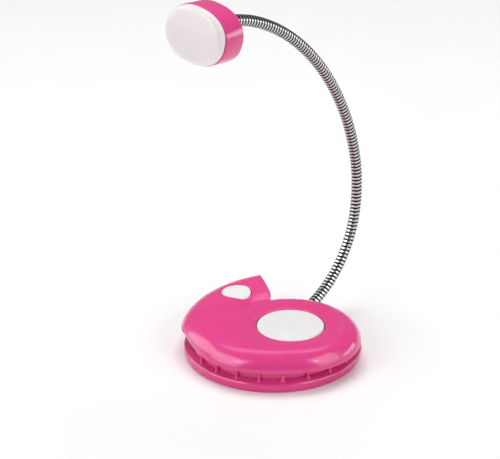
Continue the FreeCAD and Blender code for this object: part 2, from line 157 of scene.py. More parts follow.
# Gooseneck
NECK_START = (15.0, 22.6, 8.2)
NECK_HEADING = 48.3
NECK_RISE = 16.0
NECK_LENGTH = 194.0
NECK_TURNS = (33.5, 32.0, 21.0, 14.5, 12.5, 12.5, 14.5, 20.0)
NECK_R = 2.25
NECK_BORE_R = 1.6
WINDING_PITCH = 1.6
GROOVE_DEPTH = 0.30
SEGMENT = NECK_LENGTH / len(NECK_TURNS)
SOCKET_DEPTH = 3.0
FERRULE_DEPTH = 2.9

# Head
HEAD_HEADING = 54.5
HEAD_RISE = 6.7
HEAD_ROLL = -12.6
HEAD_LONG = 13.4
HEAD_SHORT = 10.8
HEAD_POWER = 2.25
HEAD_DEPTH = 10.8
HEAD_WALL = 1.2
HEAD_DROP = 3.0
HEAD_GAP = 1.2
DIFFUSER_RISE = 3.4
DIFFUSER_FILLET = 2.3
EVEN_INSET = 4.0

PINK = (0.80, 0.055, 0.265)
PINK_DEEP = (0.76, 0.048, 0.245)
WHITE = (0.86, 0.85, 0.84)
WHITE_DEEP = (0.82, 0.81, 0.80)
FROSTED = (0.90, 0.83, 0.84)
FROSTED_DEEP = (0.87, 0.79, 0.81)
CHROME = (0.56, 0.56, 0.55)
# Painted shade for the neck: near-black colour down in the grooves between wire turns
GROOVE_SHADE = (0.012, 0.012, 0.011)

# Camera, in metres and degrees below level
CAMERA_AT = (-0.00925, -0.6502, 0.3462)
CAMERA_DOWN = 24.2
CAMERA_LENS = 129.6


# ---------------------------------------------------------------- mesh helpers

def mesh_piece(name, points, faces, smooth_angle=40.0):
    """A mesh object from millimetre points, shaded smooth except at edges sharper than smooth_angle."""
    data = bpy.data.meshes.new(name)
    data.from_pydata([Vector(p) * MM for p in points], [], faces)
    data.update()
    piece = bpy.data.objects.new(name, data)
    bpy.context.scene.collection.objects.link(piece)
    tidy_mesh(piece, smooth_angle)
    return piece


def tidy_mesh(piece, smooth_angle):
    work = bmesh.new()
    work.from_mesh(piece.data)
    bmesh.ops.remove_doubles(work, verts=work.verts, dist=0.004 * MM)
    bmesh.ops.dissolve_degenerate(work, edges=work.edges, dist=0.002 * MM)
    bmesh.ops.recalc_face_normals(work, faces=work.faces)
    for face in work.faces:
        face.smooth = True
    limit = math.radians(smooth_angle)
    for edge in work.edges:
        edge.smooth = not (edge.is_manifold and edge.calc_face_angle(0.0) > limit)
    work.to_mesh(piece.data)
    work.free()


def grid_faces(rows, columns, close_rows=False, close_columns=False, offset=0):
    """Quads of a grid stored row by row."""
    faces = []
    for i in range(rows if close_rows else rows - 1):
        for j in range(columns if close_columns else columns - 1):
            a = i * columns + j
            b = i * columns + (j + 1) % columns
            c = ((i + 1) % rows) * columns + (j + 1) % columns
            d = ((i + 1) % rows) * columns + j
            faces.append((a + offset, b + offset, c + offset, d + offset))
    return faces


def rounded(profile, radius, steps=5):
    """A polyline with each inner corner replaced by an arc-like curve."""
    result = [profile[0]]
    for before, corner, after in zip(profile, profile[1:], profile[2:]):
        a, b, c = (np.array(p, float) for p in (before, corner, after))
        reach = min(radius, 0.45 * np.linalg.norm(a - b), 0.45 * np.linalg.norm(c - b))
        start = b + (a - b) / np.linalg.norm(a - b) * reach
        end = b + (c - b) / np.linalg.norm(c - b) * reach
        for k in range(steps + 1):
            t = k / steps
            result.append(tuple((1 - t) ** 2 * start + 2 * t * (1 - t) * b + t * t * end))
    result.append(profile[-1])
    return result


def lathe(name, profile, centre=(0.0, 0.0), segments=192, closed=False, smooth_angle=40.0):
    """Turn (radius, z) points about an upright axis."""
    points = []
    for radius, z in profile:
        for k in range(segments):
            angle = TAU * k / segments
            points.append((centre[0] + radius * math.cos(angle), centre[1] + radius * math.sin(angle), z))
    faces = grid_faces(len(profile), segments, close_rows=closed, close_columns=True)
    return mesh_piece(name, points, faces, smooth_angle)


def joined(name, pieces):
    """One object from several, with their meshes kept as separate shells."""
    bpy.ops.object.select_all(action="DESELECT")
    for piece in pieces:
        piece.select_set(True)
    bpy.context.view_layer.objects.active = pieces[0]
    bpy.ops.object.join()
    pieces[0].name = name
    pieces[0].data.name = name
    return pieces[0]


def apply_modifiers(piece):
    depsgraph = bpy.context.evaluated_depsgraph_get()
    data = bpy.data.meshes.new_from_object(piece.evaluated_get(depsgraph))
    piece.modifiers.clear()
    piece.data = data
    return piece


def carve(piece, cutter):
    """Cut one mesh out of another and remove the cutter."""
    tool = piece.modifiers.new("carve", "BOOLEAN")
    tool.operation = "DIFFERENCE"
    tool.solver = "EXACT"
    tool.object = cutter
    apply_modifiers(piece)
    bpy.data.objects.remove(cutter)
    return piece


def finish_piece(piece, body, material, slot, *nodes):
    """Give a piece its material and its body, and hide the CAD nodes that it stands for. The slot is not
    used.
    """
    piece.data.materials.clear()
    piece.data.materials.append(material)
    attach(piece, body)
    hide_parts(*nodes)
    return piece


# ---------------------------------------------------------------- materials

class Finish:
    """A Principled material with short ways to add nodes."""

    def __init__(self, name):
        self.material = bpy.data.materials.new(name)
        self.material.use_nodes = True
        self.tree = self.material.node_tree
        self.shader = self.tree.nodes["Principled BSDF"]
        self.coordinates = self.node("ShaderNodeTexCoord")

    def node(self, kind, **values):
        made = self.tree.nodes.new(kind)
        for key, value in values.items():
            setattr(made, key, value)
        return made

    def link(self, a, b):
        self.tree.links.new(a, b)

    def stretched(self, scale):
        mapping = self.node("ShaderNodeMapping")
        mapping.inputs["Scale"].default_value = scale
        self.link(self.coordinates.outputs["Object"], mapping.inputs["Vector"])
        return mapping.outputs["Vector"]

    def noise(self, scale, detail=3.0, vector=None):
        """Noise whose features are about 1/scale metres across."""
        made = self.node("ShaderNodeTexNoise")
        made.inputs["Scale"].default_value = scale
        made.inputs["Detail"].default_value = detail
        self.link(vector or self.coordinates.outputs["Object"], made.inputs["Vector"])
        return made.outputs["Fac"]

    def ramp(self, factor, low, high, start=0.3, end=0.7):
        made = self.node("ShaderNodeValToRGB")
        made.color_ramp.elements[0].position = start
        made.color_ramp.elements[1].position = end
        made.color_ramp.elements[0].color = (*low, 1.0)
        made.color_ramp.elements[1].color = (*high, 1.0)
        self.link(factor, made.inputs["Fac"])
        return made.outputs["Color"]

    def spread(self, factor, low, high):
        made = self.node("ShaderNodeMapRange")
        made.inputs["From Min"].default_value = 0.3
        made.inputs["From Max"].default_value = 0.7
        made.inputs["To Min"].default_value = low
        made.inputs["To Max"].default_value = high
        self.link(factor, made.inputs["Value"])
        return made.outputs["Result"]

    def bump(self, factor, strength, depth_mm, under=None):
        made = self.node("ShaderNodeBump")
        made.inputs["Strength"].default_value = strength
        made.inputs["Distance"].default_value = depth_mm * MM
        self.link(factor, made.inputs["Height"])
        if under:
            self.link(under, made.inputs["Normal"])
        return made.outputs["Normal"]

    def wire(self, socket, output):
        self.link(output, self.shader.inputs[socket])

    def set(self, **values):
        for key, value in values.items():
            self.shader.inputs[key.replace("_", " ")].default_value = value


def moulded(name, light, deep, gloss=(0.15, 0.24), peel=0.05):
    """Glossy injection-moulded plastic with faint colour drift, orange peel and handling haze."""
    finish = Finish(name)
    finish.wire("Base Color", finish.ramp(finish.noise(70, 4), deep, light))
    haze = finish.noise(420, 6)
    finish.wire("Roughness", finish.spread(haze, *gloss))
    wave = finish.bump(finish.noise(650, 2), peel, 0.05)
    finish.wire("Normal", finish.bump(finish.noise(7000, 2), peel, 0.01, wave))
    finish.set(Coat_Weight=0.15, Coat_Roughness=0.06, IOR=1.5)
    return finish


def pink_plastic():
    finish = moulded("pink_plastic", PINK, PINK_DEEP)
    finish.set(Subsurface_Weight=0.12, Subsurface_Scale=0.0015)
    finish.shader.inputs["Subsurface Radius"].default_value = (1.0, 0.25, 0.5)
    return finish.material


def white_plastic():
    finish = moulded("white_plastic", WHITE, WHITE_DEEP, gloss=(0.30, 0.42), peel=0.08)
    finish.set(Subsurface_Weight=0.1, Subsurface_Scale=0.001)
    return finish.material


def frosted_plastic():
    finish = moulded("frosted_diffuser", FROSTED, FROSTED_DEEP, gloss=(0.28, 0.34), peel=0.02)
    finish.set(Subsurface_Weight=0.55, Subsurface_Scale=0.003)
    finish.shader.inputs["Subsurface Radius"].default_value = (1.0, 0.8, 0.8)
    return finish.material


def wound_chrome():
    """Polished wire, with painted shade down in the grooves between turns and inside the bore."""
    finish = Finish("wound_chrome")
    groove = finish.node("ShaderNodeAttribute", attribute_name="groove")
    # Painted shade: the base colour goes near black down in the grooves
    cover = finish.ramp(groove.outputs["Fac"], CHROME, GROOVE_SHADE, 0.07, 0.22)
    finish.wire("Base Color", cover)
    along = finish.stretched((900, 900, 5000))
    finish.wire("Roughness", finish.spread(finish.noise(1.0, 3, along), 0.10, 0.24))
    finish.wire("Normal", finish.bump(finish.noise(2600, 3), 0.08, 0.02))
    finish.set(Metallic=1.0)
    return finish.material


def brushed_metal(name, colour, metallic=1.0):
    finish = Finish(name)
    lines = finish.noise(1.0, 4, finish.stretched((300, 300, 9000)))
    finish.wire("Base Color", finish.ramp(lines, [c * 0.85 for c in colour], colour))
    finish.wire("Roughness", finish.spread(lines, 0.25, 0.42))
    finish.wire("Normal", finish.bump(lines, 0.12, 0.02))
    finish.set(Metallic=metallic)
    return finish.material


def board_resin():
    """Green solder mask over square copper tracks."""
    finish = Finish("board_resin")
    tracks = finish.node("ShaderNodeTexBrick")
    tracks.inputs["Scale"].default_value = 380
    tracks.inputs["Mortar Size"].default_value = 0.03
    tracks.inputs["Color1"].default_value = (0.02, 0.17, 0.07, 1)
    tracks.inputs["Color2"].default_value = (0.025, 0.20, 0.08, 1)
    tracks.inputs["Mortar"].default_value = (0.05, 0.33, 0.13, 1)
    finish.link(finish.coordinates.outputs["Object"], tracks.inputs["Vector"])
    finish.wire("Base Color", tracks.outputs["Color"])
    finish.wire("Roughness", finish.spread(finish.noise(1200), 0.3, 0.45))
    finish.wire("Normal", finish.bump(tracks.outputs["Fac"], 0.2, 0.03))
    return finish.material


def grained(name, light, deep, rough):
    finish = Finish(name)
    grain = finish.noise(2400, 5)
    finish.wire("Base Color", finish.ramp(grain, deep, light))
    finish.wire("Roughness", finish.spread(grain, rough - 0.06, rough + 0.08))
    finish.wire("Normal", finish.bump(grain, 0.2, 0.02))
    return finish.material


# ---------------------------------------------------------------- lower jaw

def arc_solid(outline, start, span, steps):
    """Points and faces of a (radius, z) outline swept round part of a turn, with closed ends."""
    points = []
    for k in range(steps + 1):
        angle = math.radians(start + span * k / steps)
        points += [(r * math.cos(angle), r * math.sin(angle), z) for r, z in outline]
    count = len(outline)
    faces = grid_faces(steps + 1, count, close_columns=True)
    faces.append(tuple(range(count)))
    faces.append(tuple(range(steps * count, (steps + 1) * count))[::-1])
    return points, faces


def rib_mesh(index):
    """One radial rib, flared where it meets the ledge and the lip above. The thick one is at 0."""
    half = 0.36 if index else 0.60
    flare = 0.45 if index else 0.80
    angle = math.radians(CENTRE_RIB_ANGLE + index * (LEFT_RIB_STEP if index < 0 else RIGHT_RIB_STEP))
    along = np.array((math.cos(angle), math.sin(angle)))
    across = np.array((-along[1], along[0]))
    low, high = LEDGE_Z - 0.9, WALL_TOP_Z
    points = []
    for k in range(RIB_LEVELS):
        t = k / (RIB_LEVELS - 1)
        ends = abs(2 * t - 1) ** 4
        width = half + flare * ends
        reach = RIB_REACH * (0.80 + 0.20 * ends)
        z = low + (high - low) * t
        nose = width * 0.8
        outline = ((-0.3, -width), (reach - nose * 0.6, -width), (reach - nose * 0.15, -width * 0.62),
                   (reach, 0.0), (reach - nose * 0.15, width * 0.62), (reach - nose * 0.6, width),
                   (-0.3, width))
        for x, y in outline:
            place = along * (WALL_R + x) + across * y
            points.append((place[0], place[1], z))
    count = len(outline)
    faces = grid_faces(RIB_LEVELS, count, close_columns=True)
    faces.append(tuple(range(count))[::-1])
    faces.append(tuple(range((RIB_LEVELS - 1) * count, RIB_LEVELS * count)))
    return mesh_piece("rib_%d" % index, points, faces, 50)


def jaw_dish(material):
    profile = [(0, FOOT_RECESS), (FOOT_R - 5, FOOT_RECESS), (FOOT_R - 5.4, 0.0), (FOOT_R, 0.0),
               (RIM_R - 0.1, RIM_Z - 0.6), (RIM_R - 0.5, RIM_Z + 0.05), (WALL_R + 0.4, LEDGE_Z - 0.15),
               (WALL_R - WALL_THICK, LEDGE_Z), (WALL_R - WALL_THICK, FLOOR_Z), (0, FLOOR_Z)]
    saucer = lathe("saucer", rounded(profile, 0.55), segments=256)
    carve(saucer, neck_scoop())
    wall_low = LEDGE_Z - 0.6
    inner = WALL_R - WALL_THICK
    corners = [(inner, wall_low), (inner, WALL_TOP_Z), (WALL_R, WALL_TOP_Z), (WALL_R, wall_low)]
    points, faces = arc_solid(rounded(corners, 0.3), WALL_START, WALL_SPAN, 168)
    wall = mesh_piece("wall", points, faces)
    ribs = [rib_mesh(index) for index in range(-LEFT_RIBS, RIGHT_RIBS + 1)]
    ears = [hinge_ear(side) for side in (-1, 1)]
    dish = joined("jaw_dish_body", [saucer, wall] + ribs + ears)
    return finish_piece(dish, "jaw", material, "pink_plastic", "jaw_dish")


def neck_scoop():
    """A rod that cuts room in the rim for the neck when the clip is open."""
    points = []
    around = 64
    for along in (0.0, RIM_R):
        middle = np.array((NECK_START[0], NECK_START[1], NECK_SCOOP_Z)) + HEADING * along
        for k in range(around):
            theta = TAU * k / around
            points.append(middle + (SIDEWAYS * math.cos(theta) + UPWARD * math.sin(theta)) * NECK_SCOOP_R)
    faces = grid_faces(2, around, close_columns=True)
    faces += [tuple(range(around))[::-1], tuple(range(around, 2 * around))]
    return mesh_piece("scoop", points, faces)


def hinge_ear(side):
    """A rounded upright leaf on the jaw's floor for the hinge pin."""
    middle = WHORL[0] + side * EAR_X
    steps = 16
    outline = [(PIN_Y - EAR_R, FLOOR_Z - 0.1)]
    for k in range(steps + 1):
        angle = math.pi * k / steps
        outline.append((PIN_Y - EAR_R * math.cos(angle), PIN_Z + EAR_R * math.sin(angle)))
    outline.append((PIN_Y + EAR_R, FLOOR_Z - 0.1))
    points = [(middle + x, y, z) for x in (-EAR_HALF, EAR_HALF) for y, z in outline]
    count = len(outline)
    faces = grid_faces(2, count, close_columns=True)
    faces += [tuple(range(count))[::-1], tuple(range(count, 2 * count))]
    return mesh_piece("ear_%s" % ("left" if side < 0 else "right"), points, faces)


# ---------------------------------------------------------------- upper shell

def along_tail(values, turn):
    """A value between the tail's stations, on a smooth curve through them."""
    stations = np.array(TURNS, float)
    values = np.array(values, float)
    slopes = np.gradient(values, stations)
    k = int(np.clip(np.searchsorted(stations, turn) - 1, 0, len(stations) - 2))
    width = stations[k + 1] - stations[k]
    t = min(max((turn - stations[k]) / width, 0.0), 1.0)
    a, b = values[k], values[k + 1]
    return ((2 * t ** 3 - 3 * t ** 2 + 1) * a + (t ** 3 - 2 * t ** 2 + t) * width * slopes[k]
            + (-2 * t ** 3 + 3 * t ** 2) * b + (t ** 3 - t ** 2) * width * slopes[k + 1])


def smooth_step(value, low, high):
    t = min(max((value - low) / (high - low), 0.0), 1.0)
    return t * t * (3 - 2 * t)


def lobe(radius, crest_r, crest_z, edge_r, edge_z, flank_r, flank_drop, shoulder):
    """Height of a rounded section with its crest at crest_r, falling to its edge and its inner flank."""
    if radius <= crest_r:
        return crest_z - flank_drop * ((crest_r - radius) / (crest_r - flank_r)) ** 2
    u = min((radius - crest_r) / (edge_r - crest_r), 1.0)
    return edge_z + (crest_z - edge_z) * (1 - u ** shoulder) ** (1 / LOBE_POWER)


def whorl_height(radius):
    return lobe(radius, WHORL_CREST_R, WHORL_TOP_Z, WHORL_R, EDGE_Z, INNER_R, WHORL_DROP, WHORL_SHOULDER)


def edge_height(turn):
    """The shell's lower edge, which steps up under the tail."""
    return EDGE_Z + (LIFTED_EDGE_Z - EDGE_Z) * smooth_step(turn, *LIFT_TURNS)


def shell_height(radius, turn):
    """Height of the shell's outer surface: the tail alone at first, and the whorl alone past the mouth.
    The whorl's ring rises out of the tail in between, where a crease parts them."""
    if turn >= MOUTH_TURN:
        return whorl_height(min(radius, WHORL_R))
    tail = lobe(radius, along_tail(CREST_R, turn), along_tail(CREST_Z, turn), along_tail(EDGE_R, turn),
                EDGE_Z, along_tail(FLANK_R, turn), along_tail(FLANK_DROP, turn), along_tail(SHOULDER, turn))
    if radius > WHORL_R - 0.5 or turn < RING_TURNS[0]:
        return tail
    whorl = whorl_height(radius) - RING_RISE * (1 - smooth_step(turn, *RING_TURNS))
    reach = CREASE_SHARP + (CREASE_SOFT - CREASE_SHARP) * (1 - smooth_step(turn, *CREASE_TURNS))
    gap = max(reach - abs(whorl - tail), 0.0) / reach
    return max(whorl, tail) + gap * gap * reach / 4 * smooth_step(radius, *CREASE_FADE_R)


def shell_point(radius, turn, z):
    """A point of the shell. The tail's sections lean back towards the whorl near the mouth."""
    lean = MOUTH_LEAN * (1 - smooth_step(radius, *MOUTH_LEAN_R))
    lean += MOUTH_TOE * (1 - smooth_step(radius, *MOUTH_TOE_R))
    share = smooth_step(turn, LEAN_START, MOUTH_TURN) if turn <= MOUTH_TURN else 0.0
    angle = math.radians(270 - turn + lean * share)
    return np.array((WHORL[0] + radius * math.cos(angle), WHORL[1] + radius * math.sin(angle), z))


def lower_edge_radius(turn):
    """Where the tail's outer surface comes down to its lower edge."""
    crest_r, crest_z = along_tail(CREST_R, turn), along_tail(CREST_Z, turn)
    lift = (edge_height(turn) - EDGE_Z) / (crest_z - EDGE_Z)
    share = (1 - lift ** LOBE_POWER) ** (1 / along_tail(SHOULDER, turn))
    return crest_r + (along_tail(EDGE_R, turn) - crest_r) * share


def tuck(turn, z):
    """How far the front lip is drawn in below the shoulder."""
    along = smooth_step(turn, *TUCK_TURNS) * (1 - smooth_step(turn, *LIFT_TURNS))
    return TUCK * along * (1 - smooth_step(z, *TUCK_HEIGHTS))


def section_radii(edge_r):
    """Radii of a section's samples, close together at the steep outer edge."""
    inner = list(np.linspace(14.35, KNOT_R, 23))
    outer = [KNOT_R + (edge_r - KNOT_R) * math.sin(math.pi / 2 * k / 44) for k in range(1, 45)]
    return inner, outer


def section(turn, tail_side):
    """One closed loop of the shell's wall: cap hole, outer surface, lip and inner surface."""
    edge_r = lower_edge_radius(turn) if tail_side else WHORL_R
    height_turn = min(turn, MOUTH_TURN - 1e-6) if tail_side else MOUTH_TURN
    inner, outer = section_radii(edge_r)
    edge_z = edge_height(turn) if tail_side else EDGE_Z
    points = [(CAP_HOLE_R, CAP_SEAT_Z), (CAP_HOLE_R, CAP_Z - 0.35), (CAP_HOLE_R + 0.12, CAP_Z - 0.1)]
    points += [(r, shell_height(r, height_turn)) for r in inner + outer]
    if tail_side:
        points = [(r - tuck(turn, z), z) for r, z in points]
        edge_r = points[-1][0]
    points += [(edge_r - 0.12, edge_z - 0.22), (edge_r - 0.45, edge_z - 0.35),
               (edge_r - 1.3, edge_z - 0.35), (edge_r - SHELL_WALL, edge_z - 0.1)]
    under = np.linspace(edge_r - SHELL_WALL - 0.1, 15.6, 16)
    ceiling = []
    for r in under:
        skin = shell_height(r + 0.9 * (r - 15) / 20, height_turn)
        ceiling.append((r, max(skin - SHELL_WALL, edge_z + 0.6)))
    return points + ceiling + [(15.4, CAP_SEAT_Z)], len(points)


def rounded_end(loop, outer_count, turn, fraction):
    """The tail's loop near its mouth, drawn in along the surface normal to round the mouth's edge."""
    result = []
    profile = np.array(loop)
    tangents = np.gradient(profile, axis=0)
    for k, (radius, z) in enumerate(loop):
        grow = smooth_step(radius, KNOT_R, KNOT_R + 2.5) if k < outer_count else 0.0
        normal = np.array((tangents[k][1], -tangents[k][0]))
        normal = normal / max(np.linalg.norm(normal), 1e-9)
        inset = MOUTH_ROUND * (1 - math.cos(math.pi / 2 * fraction)) * grow
        back = MOUTH_ROUND * (1 - math.sin(math.pi / 2 * fraction)) * grow
        r, height = radius + normal[0] * inset, z + normal[1] * inset
        result.append(shell_point(r, turn - math.degrees(back / radius), height))
    return result


def top_shell(material):
    low, high = LIFT_TURNS
    tail_turns = list(np.linspace(0, low - 1, 94)) + list(np.linspace(low - 0.6, high + 0.6, 22))
    tail_turns += list(np.linspace(high + 1, MOUTH_TURN - 1.6, 70))
    whorl_turns = list(np.linspace(MOUTH_TURN, 360, 110))
    inner_end = MOUTH_TURN - 2.4
    columns = []
    for turn in tail_turns:
        loop, outer_count = section(turn, True)
        inner_turn = turn * inner_end / MOUTH_TURN
        columns.append([shell_point(r, turn if k < outer_count else inner_turn, z)
                        for k, (r, z) in enumerate(loop)])
    last, outer_count = section(MOUTH_TURN, True)
    for fraction in (0.0, 0.2, 0.4, 0.6, 0.8, 1.0):
        column = rounded_end(last, outer_count, MOUTH_TURN, fraction)
        for k in range(outer_count, len(last)):
            radius, z = last[k]
            column[k] = shell_point(radius, inner_end, z)
        columns.append(column)
    first_whorl, _ = section(MOUTH_TURN, False)
    # The mouth's end wall, between the tail's last loop and the whorl's first
    end = columns[-1]
    start = [shell_point(r, MOUTH_TURN if k < outer_count else inner_end, z)
             for k, (r, z) in enumerate(first_whorl)]
    steps = 8
    for k in range(1, steps):
        columns.append([end[i] + (start[i] - end[i]) * k / steps for i in range(len(end))])
    for turn in whorl_turns:
        inner_turn = inner_end + (turn - MOUTH_TURN) * (360 - inner_end) / (360 - MOUTH_TURN)
        columns.append([shell_point(r, turn if k < outer_count else inner_turn, z)
                        for k, (r, z) in enumerate(first_whorl)])
    points = [tuple(p) for column in columns for p in column]
    faces = grid_faces(len(columns), len(last), close_columns=True)
    shell = mesh_piece("spiral_shell", points, faces, 38)
    carve(shell, button_prism("button_cut", BUTTON_GAP, EDGE_Z - 0.5, CAP_Z + 7.0))
    return finish_piece(shell, "case", material, "pink_plastic", "top_shell")


# ---------------------------------------------------------------- cap and button

def egg_outline(grow, count=96):
    """The button's outline: a full oval, a little blunter towards the mouth, its other end turned back."""
    cosine, sine = math.cos(math.radians(BUTTON_TURN)), math.sin(math.radians(BUTTON_TURN))
    points = []
    for k in range(count):
        angle = TAU * k / count
        c, s = math.cos(angle), math.sin(angle)
        x = (BUTTON_LONG + grow) * math.copysign(abs(c) ** BUTTON_FULLNESS, c)
        y = (BUTTON_SHORT + grow) * (1 + BUTTON_EGG * c) * math.copysign(abs(s) ** BUTTON_FULLNESS, s)
        points.append((BUTTON_AT[0] + x * cosine - y * sine, BUTTON_AT[1] + x * sine + y * cosine))
    return points


def tail_height(x, y):
    """Height of the shell over a point on the tail."""
    dx, dy = x - WHORL[0], y - WHORL[1]
    turn = (270 - math.degrees(math.atan2(dy, dx))) % 360
    return shell_height(math.hypot(dx, dy), turn)


def button_prism(name, grow, low, high):
    outline = egg_outline(grow)
    points = [(x, y, low) for x, y in outline] + [(x, y, high) for x, y in outline]
    count = len(outline)
    faces = grid_faces(2, count, close_columns=True)
    faces += [tuple(range(count))[::-1], tuple(range(count, 2 * count))]
    return mesh_piece(name, points, faces)


def power_button(material):
    """A button whose top follows the shell's surface, slightly crowned."""
    outline = egg_outline(0.0)
    centre_x, centre_y = BUTTON_AT
    rings = [(1.0, -BUTTON_SKIRT), (1.0, -0.35), (0.985, -0.12), (0.955, 0.04), (0.90, 0.14)]
    steps = 12
    for k in range(1, steps):
        share = 0.9 - 0.9 * k / steps
        rings.append((share, 0.14 + 0.22 * (1 - share ** 2)))
    points = []
    for share, rise in rings:
        for x, y in outline:
            px, py = centre_x + (x - centre_x) * share, centre_y + (y - centre_y) * share
            points.append((px, py, tail_height(px, py) + rise))
    count = len(outline)
    faces = grid_faces(len(rings), count, close_columns=True)
    top = len(points)
    points.append((centre_x, centre_y, tail_height(centre_x, centre_y) + BUTTON_CROWN))
    faces += [(top - count + k, top - count + (k + 1) % count, top) for k in range(count)]
    faces.append(tuple(range(count))[::-1])
    button = mesh_piece("button_cap", points, faces, 50)
    button = joined("button_cap", [button, power_icon()])
    return finish_piece(button, "button", material, "white_plastic", "power_button")


def relief_strip(name, path):
    """A low raised line on the button along a path of (x, y) points."""
    points = []
    path = np.array(path)
    tangents = np.gradient(path, axis=0)
    for (x, y), (tx, ty) in zip(path, tangents):
        length = math.hypot(tx, ty)
        nx, ny = -ty / length, tx / length
        for side, up in ((-1.0, -0.1), (-0.6, RELIEF_RISE), (0.6, RELIEF_RISE), (1.0, -0.1)):
            px, py = x + nx * side * RELIEF_HALF, y + ny * side * RELIEF_HALF
            points.append((px, py, tail_height(px, py) + RELIEF_BASE + up))
    return mesh_piece(name, points, grid_faces(len(path), 4), 60)


def power_icon():
    """A generic on-off mark: an open ring with a short bar."""
    cx, cy = BUTTON_AT
    gap = math.radians(38)
    radius = 1.5
    ring = [(cx + radius * math.sin(a), cy + radius * math.cos(a)) for a in np.linspace(gap, TAU - gap, 40)]
    bar = [(cx, cy + t) for t in np.linspace(0.5, 2.0, 8)]
    return joined("power_icon", [relief_strip("ring", ring), relief_strip("bar", bar)])


def battery_cap(material):
    """A slightly crowned disc with a small round dimple behind its middle."""
    bevel, crown, steps = 0.45, 0.28, 24
    low = CAP_Z - CAP_THICK
    profile = rounded([(0.0, low), (CAP_R, low), (CAP_R, CAP_Z - bevel), (CAP_R - bevel, CAP_Z)], 0.25)
    for k in range(1, steps + 1):
        share = 1 - k / steps
        profile.append(((CAP_R - bevel) * share, CAP_Z + crown * (1 - share ** 2)))
    cap = lathe("cap_disc", profile, WHORL, 192)
    dot_r, dot_low, dot_high = 0.45, CAP_Z - 0.1, CAP_Z + 1.0
    dot_profile = [(0.0, dot_low), (dot_r, dot_low), (dot_r, dot_high), (0.0, dot_high)]
    carve(cap, lathe("dot", dot_profile, (WHORL[0], WHORL[1] + 1.7), 24))
    return finish_piece(cap, "case", material, "white_plastic", "battery_cap")


# ---------------------------------------------------------------- gooseneck

HEADING = np.array((math.cos(math.radians(NECK_HEADING)), math.sin(math.radians(NECK_HEADING)), 0.0))
UPWARD = np.array((0.0, 0.0, 1.0))
SIDEWAYS = np.cross(HEADING, UPWARD)


def neck_direction(angle):
    return HEADING * math.cos(math.radians(angle)) + UPWARD * math.sin(math.radians(angle))


def neck_stations():
    """Joint places, each a point and a tangent angle."""
    point, angle = np.array(NECK_START), NECK_RISE
    stations = [(point, angle)]
    for turn in NECK_TURNS:
        chord = SEGMENT * math.sin(math.radians(turn / 2)) / math.radians(turn / 2)
        point = point + neck_direction(angle + turn / 2) * chord
        angle += turn
        stations.append((point, angle))
    return stations


STATIONS = neck_stations()


def neck_at(s):
    """Point and tangent angle at a distance along the neck. It runs on straight past either end."""
    if s <= 0:
        return STATIONS[0][0] + neck_direction(NECK_RISE) * s, NECK_RISE
    if s >= NECK_LENGTH:
        point, angle = STATIONS[-1]
        return point + neck_direction(angle) * (s - NECK_LENGTH), angle
    index = min(int(s / SEGMENT), len(NECK_TURNS) - 1)
    point, angle = STATIONS[index]
    along = s - index * SEGMENT
    turn = NECK_TURNS[index] * along / SEGMENT
    chord = along * math.sin(math.radians(turn / 2)) / math.radians(turn / 2) if along > 1e-9 else 0.0
    return point + neck_direction(angle + turn / 2) * chord, angle + turn


def winding(name, s_start, s_end, material, per_turn=16, around=32):
    """A closed tube whose outside is a coil of round wire, with a groove attribute for its material."""
    steps = max(int(round((s_end - s_start) / WINDING_PITCH * per_turn)), 4)
    bore_steps = 8
    stations = [(s_start, NECK_BORE_R)]
    stations += [(s_start + (s_end - s_start) * k / steps, None) for k in range(steps + 1)]
    stations += [(s_end + (s_start - s_end) * k / bore_steps, NECK_BORE_R) for k in range(bore_steps)]
    points, grooves = [], []
    for s, fixed in stations:
        centre, angle = neck_at(s)
        normal = neck_direction(angle + 90)
        for k in range(around):
            theta = TAU * k / around
            phase = (s / WINDING_PITCH - k / around) % 1.0
            wire = math.sqrt(max(1 - (2 * phase - 1) ** 2, 0.0))
            radius = fixed or NECK_R - GROOVE_DEPTH * (1 - wire)
            points.append(centre + (normal * math.cos(theta) + SIDEWAYS * math.sin(theta)) * radius)
            # The bore counts as full groove, so it takes the painted shade too
            grooves.append(1.0 - wire if fixed is None else 1.0)
    faces = grid_faces(len(stations), around, close_rows=True, close_columns=True)
    data = bpy.data.meshes.new(name)
    data.from_pydata([Vector(p) * MM for p in points], [], faces)
    attribute = data.attributes.new("groove", "FLOAT", "POINT")
    attribute.data.foreach_set("value", grooves)
    data.polygons.foreach_set("use_smooth", [True] * len(faces))
    data.update()
    piece = bpy.data.objects.new(name, data)
    bpy.context.scene.collection.objects.link(piece)
    work = bmesh.new()
    work.from_mesh(data)
    bmesh.ops.recalc_face_normals(work, faces=work.faces)
    work.to_mesh(data)
    work.free()
    data.materials.append(material)
    return piece


def gooseneck(material):
    """One winding per joint, from the middle of one rigid length to the middle of the next."""
    bodies = ["case"] + ["neck_%d" % (k + 1) for k in range(len(NECK_TURNS))] + ["head"]
    count = len(bodies) - 1
    for k in range(count):
        joint = k * SEGMENT
        start = -SOCKET_DEPTH if k == 0 else joint - SEGMENT / 2
        end = NECK_LENGTH + FERRULE_DEPTH if k == count - 1 else joint + SEGMENT / 2
        piece = winding("gooseneck_%d" % (k + 1), start, end, material)
        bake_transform(piece)
        if k == 0:
            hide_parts("neck_root_winding")
        else:
            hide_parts("neck_winding_%d" % k)
        if k == count - 1:
            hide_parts("neck_tip_winding")


def collar(name, s_start, s_end, profile, material, body, node):
    """A turned ring on the neck's line. Its profile is (share of the length, radius)."""
    points = []
    around = 64
    for share, radius in profile:
        centre, angle = neck_at(s_start + (s_end - s_start) * share)
        normal = neck_direction(angle + 90)
        for k in range(around):
            theta = TAU * k / around
            points.append(centre + (normal * math.cos(theta) + SIDEWAYS * math.sin(theta)) * radius)
    faces = grid_faces(len(profile), around, close_rows=True, close_columns=True)
    ring = mesh_piece(name, points, faces, 40)
    return finish_piece(ring, body, material, "pink_plastic", node)


# ---------------------------------------------------------------- head

